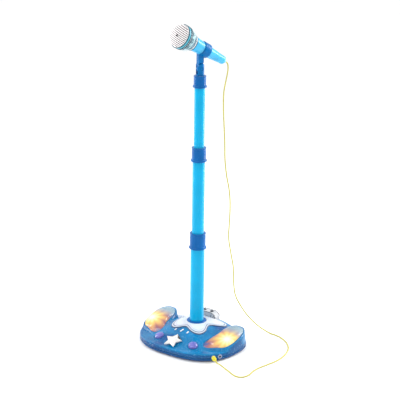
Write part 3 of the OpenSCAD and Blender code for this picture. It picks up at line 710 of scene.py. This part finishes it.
def top(x, y):
    """Height of the base's upper surface."""
    low = deck(np.hypot(x, y))
    for bx in (-BUTTON[0], BUTTON[0]):
        rho = np.hypot(x - bx, y - BUTTON[1])
        low = low + 1.3 * np.exp(-((rho - BUTTON_RING_R) / 1.5) ** 2)
    rho = np.hypot(x, y + STAR_DIST)
    low = low - 0.7 * ease(rho, STAR_WELL_R, STAR_WELL_R - 3)
    dx, dy = np.abs(x) - LAMP[0], y - LAMP[1]
    beyond = np.hypot(dx, dy) - comet_r(np.arctan2(dy, dx))
    plane = seat(y)
    ridge = 0.9 * np.exp(-((beyond - 2.6) / 1.1) ** 2)
    raised = np.where(beyond < 0.6, plane, np.maximum(low, plane)) + ridge
    return low + (raised - low) * ease(beyond, 6.8, 3.8)


def on_slope(dist, about):
    """Place on the deck's slope, dist in front of the pole and then turned about it."""
    z = SLOPE_TOP[1] - (dist - SLOPE_TOP[0]) * math.tan(math.radians(SLOPE))
    return turn("Z", about) @ shift(0, -dist, z) @ turn("X", SLOPE)


def jack_frame(angle):
    """Place of a jack in the wall, its Z axis straight outwards."""
    p = outline(np.radians(angle))
    return shift(p[0], p[1], JACK_Z) @ turn("Z", math.degrees(facing(math.radians(angle)))) @ turn("Y", 90)


# ---------- base: pieces ----------

def make_shell():
    """The glittery case: deck with raised lamp seats, rounded edge, ribbed wall and a hollow inside."""
    count = 400
    a = np.linspace(0, 2 * math.pi, count, endpoint=False)
    full = np.linalg.norm(outline(a), axis=1)
    lean = np.cos(facing(a) - a)

    def ring_at(depth):
        return outline(a) * (1 - depth / (full * lean))[:, None]

    def row(xy, z):
        return np.concatenate([xy, np.broadcast_to(z, (len(xy),))[:, None]], axis=1)

    hub = HUB_R * np.stack([np.cos(a), np.sin(a)], axis=1)
    rows = []
    for s in np.linspace(0, 1, 92):
        xy = hub * (1 - s) + ring_at(EDGE_ROUND) * s
        rows.append(row(xy, top(*xy.T)))
    for depth in (2.3, 1.5, 0.9, 0.45, 0.15, 0.0):
        xy = ring_at(depth)
        drop = EDGE_ROUND - math.sqrt(EDGE_ROUND ** 2 - (EDGE_ROUND - depth) ** 2)
        rows.append(row(xy, top(*xy.T) - drop))
    edge = top(*ring_at(0).T) - EDGE_ROUND
    degrees = np.degrees(a)
    rib = sum(np.exp(-((((degrees - at + 180) % 360) - 180) / 2.6) ** 6) for at in (252, 288))
    for f in np.linspace(0.08, 1, 12):
        swell = 1.4 * rib * ease(f, 0.02, 0.2) + 0.9 * math.sin(math.pi * f)
        rows.append(row(ring_at(-swell), edge + (PART_LINE_Z - edge) * f))
    for depth, z in ((-0.2, 10.2), (0.9, 9.9), (0.9, 9.2), (-0.3, 8.9), (-0.6, 8.4), (-0.6, 7.4),
                     (-0.2, FLOOR_H), (SHELL, FLOOR_H)):
        rows.append(row(ring_at(depth), z))
    inner = ring_at(SHELL)
    rows.append(row(inner, (top(*inner.T) - SHELL) * 0.6 + FLOOR_H * 0.4))
    for s in np.linspace(1, 0, 60):
        xy = hub * (1 - s) + inner * s
        dx, dy = np.abs(xy[:, 0]) - LAMP[0], xy[:, 1] - LAMP[1]
        beyond = np.hypot(dx, dy) - comet_r(np.arctan2(dy, dx))
        low = deck(np.hypot(xy[:, 0], xy[:, 1]))
        raised = np.where(beyond < 0.6, seat(xy[:, 1]), np.maximum(low, seat(xy[:, 1])))
        smooth = low + (raised - low) * ease(beyond, 4.2, 1.4)
        rows.append(row(xy, np.minimum(smooth, top(*xy.T)) - SHELL))
    verts, faces = loop_grid(rows)
    obj = piece("base_shell", verts, faces, "glitter", None)
    co = np.array([v.co for v in obj.data.vertices]) / MM
    # wall attribute: 0 on the deck, rising to 1 down the wall and underside, where the glitter material paints
    # shade
    depth = ease(top(co[:, 0], co[:, 1]) - co[:, 2], 1.0, 4.5)
    obj.data.attributes.new("wall", "FLOAT", "POINT").data.foreach_set("value", depth.astype(np.float32))
    carve(obj, shell_openings())
    finish_piece(obj, "glitter", "base", ("base_top_shell",))


def shell_openings():
    """Cutters for the lamp windows, the button and star holes, and the two jacks."""
    tools = []
    angle = np.linspace(0, 2 * math.pi, 120, endpoint=False)
    reach = comet_r(angle, -3.0)
    x, y = LAMP[0] + reach * np.cos(angle), LAMP[1] + reach * np.sin(angle)
    for side in (-1, 1):
        tools.append(cutter(*prism(list(zip(side * x, y)), 5, 90)))
        tools.append(cutter(*prism(circle(BUTTON_HOLE_R), -9, 14), on_slope(BUTTON_DIST, side * BUTTON_TURN)))
    tools.append(cutter(*prism(circle(STAR_HOLE_R), -9, 14), on_slope(STAR_DIST, 0)))
    for jack in (PLUG_A, AUX_A):
        tools.append(cutter(*prism(circle(JACK_HOLE_R, 32), -9, 6), jack_frame(jack)))
    return tools


def splash_r(a):
    """Edge of the splash plate from the pole's middle: a disc with four wavy lobes."""
    out = np.full(a.shape, 40.0)
    for at, size, sharp in ((-50, 22, 10), (-130, 22, 10), (36, 32, 12), (144, 32, 12)):
        out = out + size * np.maximum(0, np.cos(a - math.radians(at))) ** sharp
    return out + 0.9 * np.sin(9 * a + 0.6)


def make_splash():
    """Pearl plate round the pole, with the distance from its edge kept for the printed lines."""
    count = 360
    a = np.linspace(0, 2 * math.pi, count, endpoint=False)
    reach = splash_r(a)
    unit = np.stack([np.cos(a), np.sin(a)], axis=1)
    rows = []
    edge = []

    def add(r, height, mark):
        rows.append(np.concatenate([unit * r[:, None], height[:, None]], axis=1))
        edge.append(mark)

    for s in np.linspace(0, 1, 34):
        r = SPLASH_BORE + (reach - 1.1 - SPLASH_BORE) * s
        add(r, deck(r) + SPLASH_LIFT, np.clip((reach - r) / 14.0, 0, 1))
    for depth, drop in ((0.55, 0.12), (0.2, 0.42), (0.0, 0.95), (0.0, 1.7)):
        r = reach - depth
        add(r, deck(r) + SPLASH_LIFT - drop, np.zeros(count))
    for s in np.linspace(1, 0, 16):
        r = SPLASH_BORE + (reach - SPLASH_BORE) * s
        add(r, deck(r) + 0.25, np.full(count, 0.5))
    # Scaled before the mesh is made, not after it as in raw_mesh: the cut below splits faces by the last digit.
    verts, faces = loop_grid(rows)
    mesh = bpy.data.meshes.new("splash")
    mesh.from_pydata([tuple(v * MM) for v in verts], [], faces)
    fix = bmesh.new()
    fix.from_mesh(mesh)
    bmesh.ops.recalc_face_normals(fix, faces=fix.faces)
    fix.to_mesh(mesh)
    fix.free()
    layer = mesh.attributes.new("edge", "FLOAT", "POINT")
    layer.data.foreach_set("value", np.concatenate(edge).astype(np.float32))
    obj = new_object("splash_plate_printed", mesh)
    console_foot = [(-27.4, 37.1), (27.4, 37.1), (27.4, 90), (-27.4, 90)]
    carve(obj, [cutter(*prism(console_foot, 0, 90))])
    finish_piece(obj, "splash", "base", ("splash_plate",))


def make_lens(side):
    """Clear comet-shaped cover, domed over the lamp, hollow beneath."""
    count = 160
    a = np.linspace(0, 2 * math.pi, count, endpoint=False)
    rows = []

    def row(f, inset, drop):
        r = (comet_r(a) - inset) * f
        x, y = LAMP[0] + r * np.cos(a), LAMP[1] + r * np.sin(a)
        rise = (LENS_RISE * np.sqrt(np.maximum(0.0, 1 - (r / LENS_SPAN) ** 2))
                * np.maximum(0, 1 - f ** 5) ** 0.5)
        z = seat(y) + 0.3 + rise + LENS_EDGE * np.maximum(0, 1 - f ** 14) ** 0.5 - drop
        return np.stack([side * x, y, np.maximum(z, seat(y) + 0.15)], axis=1)
    fractions = list(np.linspace(0.02, 0.82, 26)) + [0.86, 0.9, 0.93, 0.955, 0.975, 0.988, 0.996, 1.0]
    for f in fractions:
        rows.append(row(f, 0.0, 0.0))
    for f in fractions[::-1]:
        rows.append(row(f, LENS_WALL, LENS_WALL - 0.1))
    verts, faces = loop_grid(rows)
    last = count * (len(rows) - 1)
    faces = [q for q in faces if not (max(q) >= last and min(q) < count)]
    faces.append(tuple(range(count)))
    faces.append(tuple(range(last, last + count)))
    name = "right" if side > 0 else "left"
    piece(name + "_lamp_cover", verts, faces, "lens_" + name, "base", (name + "_lamp_lens",), sharp=50)


def make_reflector(side):
    """Gold bowl under a lamp cover, its wall pressed into petals."""
    profile = [(3.4, 14), (9, 14), (13.5, 19.5), (17, 26.8), (17, 28.2), (16, 28.2), (12.8, 20.4),
               (8.4, 15.4), (3.4, 15.4)]

    def petals(a, r, _):
        lift = max(0.0, (r - 8.0) / 9.0)
        return -1.5 * lift * abs(math.sin(5 * a)), 0.0
    name = "right" if side > 0 else "left"
    lathe(name + "_petal_reflector", profile, "gold", "base", (name + "_reflector",),
          shift(side * REFLECTOR_AT[0], REFLECTOR_AT[1], 0), 0.4, 120, wave=petals)


def make_buttons():
    """Two domed foot buttons, each with a flange below the deck."""
    dome = [(11.0 * math.cos(t) ** 0.8, 1.2 + 5.2 * math.sin(t)) for t in np.radians(np.arange(12, 90, 8))]
    profile = [(0, -4.4), (12.3, -4.4), (12.3, -3.4), (11.0, -3.4), (11.0, 1.2)] + dome + [(0, 6.4)]
    verts, faces = revolve(profile, 96)
    for side, name in ((-1, "left"), (1, "right")):
        piece(name + "_dome_button", verts, faces, "violet", name + "_button", (name + "_button",), None,
              on_slope(BUTTON_DIST, side * BUTTON_TURN), 32)


def make_base_fittings():
    """The collar that the pole stands in, and the lilac-grey bezels round both jacks."""
    r = LOWER_R
    ring = [(r + 0.05, 41), (r + 2.8, 41), (r + 2.8, 48.6), (r + 6.5, 48.6), (r + 6.5, 50.2), (r + 5, 52.4),
            (r + 2.4, 53.2), (r + 0.05, 53.2)]
    lathe("pole_socket_ring", ring, "royal", "base", ("socket_ring",), None, 0.8)
    section = [(2.3, 0.25), (5.2, 0.25), (5.2, 0.9), (4.6, 1.5), (2.7, 1.5), (2.3, 1.1)]
    ring_verts, ring_faces = revolve(fillet(section, 0.3), 48)
    bezels = []
    for jack in (PLUG_A, AUX_A):
        place = jack_frame(jack)
        bezels.append(([tuple((place @ (Vector(v) * MM)) / MM) for v in ring_verts], ring_faces))
    piece("socket_bezels", *merge(bezels), "bezel", "base", ("jack_bezels",))


make_shell()
make_splash()
for lamp_side in (-1, 1):
    make_lens(lamp_side)
    make_reflector(lamp_side)
make_buttons()
make_base_fittings()


# ---------- pole ----------

TUBE_WALL = 1.8


def tube(name, r, low, high, body, node):
    """One section of the telescopic pole."""
    bore = r - TUBE_WALL
    lathe(name, [(bore, low), (r, low), (r, high), (bore, high)], "tube", body, (node,), None, 0.4, 128)


def collar(name, z, h, grip, grip_h, guide, wall, body, node):
    """Collar with a flared foot: it grips the tube below and guides the tube above."""
    outer = grip + wall
    lathe(name, [(grip + 0.02, z), (outer + 1.2, z), (outer + 2.1, z + 1), (outer + 2.1, z + 3.2),
                 (outer + 1.3, z + 4.4), (outer, z + 5.6), (outer, z + h - 2.4), (outer + 0.4, z + h - 1.8),
                 (outer + 0.4, z + h - 0.5), (outer - 0.2, z + h), (guide, z + h), (guide, z + grip_h),
                 (grip + 0.02, z + grip_h)],
          "royal", body, (node,), None, 0.6, 128)


tube("lower_pole", LOWER_R, 7, 261, "base", "lower_tube")
tube("middle_pole", MIDDLE_R, 221, 467, "middle_section", "middle_tube")
tube("upper_pole", UPPER_R, 427, 635, "upper_section", "upper_tube")
collar("lower_pole_collar", 231, 38, LOWER_R, 30, 14.6, 2, "base", "lower_collar")
collar("middle_pole_collar", 441, 33, MIDDLE_R, 26, 12.4, 2, "middle_section", "middle_collar")
collar("upper_pole_collar", 613, 27, UPPER_R, 22, 9.6, 1.8, "upper_section", "upper_collar")


# ---------- microphone ----------

CLIP = turn("Z", -17)
MIC = CLIP @ shift(0, 10, 697.5) @ turn("X", 60.5)
RIM, HEAD_R, DOME_H = 75.0, 27.5, 22.0
TAIL = -66.0
BACK_W, TAPER, BAND_BACK, BAND_FRONT = RIM - 35, RIM - 24, RIM - 9, RIM - 6.5
BODY_F, BODY_T = 17.4, 10.5
SLEEVE_R, BLOCK_R = 22.0, 23.6


def body_r(w):
    """Radius of the microphone's grip at w along its axis."""
    return BODY_F + (BODY_T - BODY_F) * (BACK_W - w) / (BACK_W + 50)


def mic_ring(profile, rounding=0.4):
    """Verts and faces of one rounded ring about the microphone's axis."""
    return revolve(fillet(profile, rounding), 128)


def make_mic_body():
    """Tapered hollow grip, round at its tail and open where the head's band begins."""
    tail_end = body_r(-56)
    profile = [(2.6, TAIL), (BODY_T - 5, TAIL), (BODY_T - 1.8, TAIL + 1.8), (BODY_T - 0.3, TAIL + 5.4),
               (tail_end, -56), (body_r(-20), -20), (body_r(15), 15), (BODY_F, BACK_W), (BODY_F - 2, BACK_W),
               (tail_end - 2, -56), (BODY_T - 3, TAIL + 6), (2.6, TAIL + 6)]
    lathe("microphone_body", profile, "mic", "microphone", ("mic_body",), MIC, 2.2, 128)


def make_mic_gland():
    """Short sleeve that the lead leaves the microphone's tail by."""
    profile = [(1.6, TAIL - 5.5), (2.3, TAIL - 5.5), (3.0, TAIL - 2.6), (3.2, TAIL - 0.1), (2.5, TAIL - 0.05),
               (2.5, TAIL + 6.1), (4.4, TAIL + 6.1), (4.4, TAIL + 8), (1.6, TAIL + 8)]
    lathe("microphone_gland", profile, "mic", "microphone", ("mic_gland",), MIC, 0.3, 48)


def make_mic_head():
    """Clear band, white rings, teal head ring and the dark trim rings between them."""
    clear = [(BODY_F + 1.4, BACK_W + 2.6), (22, BACK_W + 4.6), (25.4, BACK_W + 8.2), (26.9, TAPER + 2.4),
             (26.9, BAND_BACK), (24.9, BAND_BACK), (24.9, TAPER + 3), (23.6, BACK_W + 9.4),
             (20.6, BACK_W + 6.4), (BODY_F - 1, BACK_W + 4.6), (BODY_F - 1, BACK_W + 0.02),
             (BODY_F + 0.2, BACK_W + 0.02), (BODY_F + 0.2, BACK_W + 2.6)]
    lathe("microphone_band", clear, "band", "microphone", ("mic_band",), MIC, 1.6, 128)
    back_ring = [(BODY_F + 0.4, BACK_W + 0.1), (BODY_F + 1.5, BACK_W + 0.4), (BODY_F + 1.9, BACK_W + 1.3),
                 (BODY_F + 1.5, BACK_W + 2.4), (BODY_F + 0.4, BACK_W + 2.5)]
    front_ring = [(25, BAND_BACK + 0.1), (HEAD_R - 0.3, BAND_BACK + 0.1), (HEAD_R, BAND_BACK + 1.3),
                  (HEAD_R - 0.3, BAND_BACK + 2.4), (25, BAND_BACK + 2.4)]
    rings = merge([mic_ring(back_ring), mic_ring(front_ring)])
    piece("microphone_white_rings", *rings, "white", "microphone", ("mic_rings",), None, MIC)
    head = [(24.4, BAND_FRONT), (HEAD_R - 0.6, BAND_FRONT), (HEAD_R, BAND_FRONT + 1.4), (HEAD_R, RIM - 1.6),
            (HEAD_R - 1, RIM), (24.4, RIM)]
    lathe("microphone_head_ring", head, "headring", "microphone", ("mic_head_ring",), MIC, 0.7, 128)
    half_w, half_h = 0.9, 1.0
    trims = []
    for r, w in ((HEAD_R - 0.2, RIM + 0.2), (HEAD_R - 0.2, BAND_FRONT + 0.2), (26.9, BAND_BACK - 0.8),
                 (BODY_F + 0.35, BACK_W - 1.2)):
        trims.append(mic_ring([(r - half_w, w - half_h), (r + half_w, w - half_h),
                               (r + half_w, w + half_h), (r - half_w, w + half_h)], 0.6))
    piece("microphone_trim_rings", *merge(trims), "trim", "microphone", (), "mic_head_ring", MIC)


def make_band_print():
    """Pale sleeve with a ring of dark raised blocks, seen through the clear band."""
    lathe("band_sleeve", [(21, TAPER), (22.2, TAPER), (22.2, TAPER + 14.5), (21, TAPER + 14.5)],
          "sleeve", "microphone", ("band_inserts",), MIC, 0.2, 96)
    parts = []
    for k in range(8):
        for low, high in ((-4.6, -0.5), (0.5, 4.6)):
            arc = np.radians(np.linspace(low, high, 5) / SLEEVE_R * 57.3 * 1.15 + k * 45)
            shape = [(SLEEVE_R * math.cos(t), SLEEVE_R * math.sin(t)) for t in arc]
            shape += [(BLOCK_R * math.cos(t), BLOCK_R * math.sin(t)) for t in arc[::-1]]
            parts.append(prism(shape, TAPER + 3.6, TAPER + 13.2))
    verts, faces = merge(parts)
    piece("band_blocks", verts, faces, "insert", "microphone", (), "band_inserts", MIC, 30)


def make_grille():
    """Dome of thick ribs one way and thinner wires across them in a rolled rim, over a foam liner."""
    big, high = HEAD_R - 1.9, DOME_H - 0.6
    parts = []

    def rib(offset, thick, across, lift):
        half = math.sqrt(max(0.0, 1 - (offset / big) ** 2))
        if half < 0.12:
            return
        t = np.radians(np.linspace(0, 180, 40))
        u = big * half * np.cos(t)
        w = RIM + 0.2 + (high * half + lift) * np.sin(t)
        o = np.full(t.shape, offset)
        line = np.stack([o, u, w], axis=1) if across else np.stack([u, o, w], axis=1)
        parts.append(sweep(line, thick, 8))

    gap = 3.9
    for i in range(-6, 7):
        rib(i * gap, 1.3, False, 0.0)
        rib(i * gap + gap / 2, 0.3, True, -0.4)
    rim = [(HEAD_R - 2.6, RIM + 0.1), (HEAD_R - 1.1, RIM + 0.1), (HEAD_R - 1.1, RIM + 1.7),
           (HEAD_R - 2.6, RIM + 1.9)]
    parts.append(revolve(fillet(rim, 0.5), 96))
    piece("microphone_grille", *merge(parts), "grille", "microphone", ("mic_grille",), None,
          MIC @ turn("Z", -15), 60)

    def dome(r, h, angles):
        return [(r * math.cos(t), RIM + 0.2 + h * math.sin(t)) for t in np.radians(angles)]

    liner = dome(HEAD_R - 3.0, DOME_H - 2.2, np.arange(0, 90, 4))
    liner += [(0, RIM + DOME_H - 2.0), (0, RIM + DOME_H - 5)]
    liner += dome(HEAD_R - 6, DOME_H - 5, np.arange(80, -1, -10))
    piece("microphone_foam", *revolve(liner, 128), "foam", "microphone", ("mic_foam",), None, MIC, 70)


def make_grille_stud():
    """Small dark stud near the top of the dome."""
    out = Vector((11.4, -3.7, 22.0)).normalized()
    place = MIC @ shift(11.4, -3.7, RIM + 18.2) @ out.to_track_quat("Z", "Y").to_matrix().to_4x4()
    profile = [(0, 0), (2.3, 0), (2.3, 1.5), (1.7, 2.5), (0, 2.8)]
    lathe("grille_stud", profile, "black", "microphone", (), place, 0.3, 32, "mic_grille")


make_mic_body()
make_mic_head()
make_mic_gland()
make_band_print()
make_grille()
make_grille_stud()


# ---------- plug ----------

def make_plug():
    """Moulded boot of the plug: a round grip, then four rings that grow smaller towards the lead."""
    profile = [(0, 1.7), (4.2, 1.7), (4.8, 2.4), (4.8, 9.5)]
    for k in range(4):
        z = 9.5 + 2.1 * k
        r = 4.4 - 0.55 * k
        profile += [(r - 0.7, z + 0.4), (r - 0.7, z + 1.0), (r, z + 1.2), (r - 0.15, z + 2.1)]
    profile += [(2.2, 19.0), (0, 19.0)]
    return lathe("plug_strain_relief", profile, "boot", "plug", ("plug_boot",), jack_frame(PLUG_A), 0.25, 64)


make_lead(make_plug())


# ---------- CAD nodes that keep their own mesh ----------

def soften(node, width, angle):
    """Round a kept node's edges by a modifier, its mesh unchanged."""
    obj = NODES[node]
    weld = obj.modifiers.new("weld", "WELD")
    weld.merge_threshold = 0.00001
    round_off = obj.modifiers.new("round", "BEVEL")
    round_off.width = width
    round_off.segments = 3
    round_off.limit_method = "ANGLE"
    round_off.angle_limit = math.radians(angle)
    round_off.harden_normals = False


KEPT = {
    "base_bottom_cover": "cover", "rubber_feet": "feet", "case_screws": "steel", "trail_marks": "white",
    "star_pedal": "star", "star_spring": "steel", "left_button_spring": "steel",
    "right_button_spring": "steel", "foot_switches": "dark", "lamp_leds": "led", "main_board": "board",
    "board_parts": "black", "speaker": "dark", "batteries": "battery", "battery_contacts": "steel",
    "battery_door": "cover", "battery_door_screw": "steel", "control_console": "console",
    "power_switch": "dark", "music_button": "dark", "mic_jack": "black", "aux_jack": "black",
    "middle_bush": "nylon", "upper_bush": "nylon", "clip_stem": "clip", "clip_holder": "clip",
    "clip_screw": "clip", "clip_nut": "clip", "mic_capsule": "steel", "capsule_holder": "nylon",
    "plug_pin": "nickel",
}
for kept, material_name in KEPT.items():
    data = NODES[kept].data
    data.materials.clear()
    data.materials.append(MATS[material_name])


def make_console_trim():
    """Dark moulded lines along the console's front and back upper edges, and its fan of low ribs."""
    right = [(0, 59), (8, 59), (15.2, 58.9), (21.4, 56.6), (26.2, 51), (27, 48)]
    arch = [(-x, z) for x, z in right[:0:-1]] + right
    parts = [sweep([(x, y, z) for x, z in arch], 0.75, 8) for y in (37.7, 56.3)]
    for x, tilt in ((-20, -5), (-13, -3), (13, 3), (20, 5)):
        parts.append(sweep([(x, 37.6, 47.5), (x + tilt * 0.5, 37.5, 52), (x + tilt, 37.6, 56)], 0.6, 8))
    piece("console_trim_lines", *merge(parts), "dark", "base", (), "control_console")


make_console_trim()
for soft_node, soft_width, soft_angle in (
        ("control_console", 0.0014, 35), ("trail_marks", 0.0004, 35), ("star_pedal", 0.0004, 20),
        ("power_switch", 0.0004, 35), ("clip_holder", 0.0005, 35)):
    soften(soft_node, soft_width, soft_angle)


# ---------- stage and light ----------

def make_stage():
    """Plain pale floor under an even white sky."""
    bpy.ops.mesh.primitive_plane_add(size=40)
    floor = bpy.context.object
    floor.name = "stage_floor"
    s = Shader("stage_white")
    s.set(Base_Color=s.ramp(s.noise(3, 3), [(0.3, (0.94, 0.94, 0.94)), (0.7, (0.96, 0.96, 0.96))]))
    s.set(Roughness=s.spread(s.noise(8, 3), 0.75, 0.9))
    floor.data.materials.append(s.material)
    world = bpy.data.worlds.new("studio")
    bpy.context.scene.world = world
    world.use_nodes = True
    world.node_tree.nodes["Background"].inputs[0].default_value = (1.0, 1.0, 1.0, 1)
    world.node_tree.nodes["Background"].inputs[1].default_value = 1.05
    bpy.context.scene.view_settings.view_transform = "Standard"
    bpy.context.scene.view_settings.look = "None"


def softbox(name, place, aim, size, power):
    """Soft rectangular light pointed at aim."""
    data = bpy.data.lights.new(name, "AREA")
    data.shape = "RECTANGLE"
    data.size, data.size_y = size
    data.energy = power
    lamp = bpy.data.objects.new(name, data)
    ROW.objects.link(lamp)
    lamp.location = place
    lamp.rotation_euler = (Vector(aim) - Vector(place)).to_track_quat("-Z", "Y").to_euler()


make_stage()
softbox("key_softbox", (-0.6, -2.0, 2.6), (0, 0, 0.3), (1.8, 1.8), 22)
softbox("right_strip", (0.80, 1.14, 0.75), (0, 0, 0.42), (0.5, 1.7), 24)
softbox("left_strip", (-1.30, -0.30, 0.75), (0, 0, 0.42), (0.3, 1.7), 12)
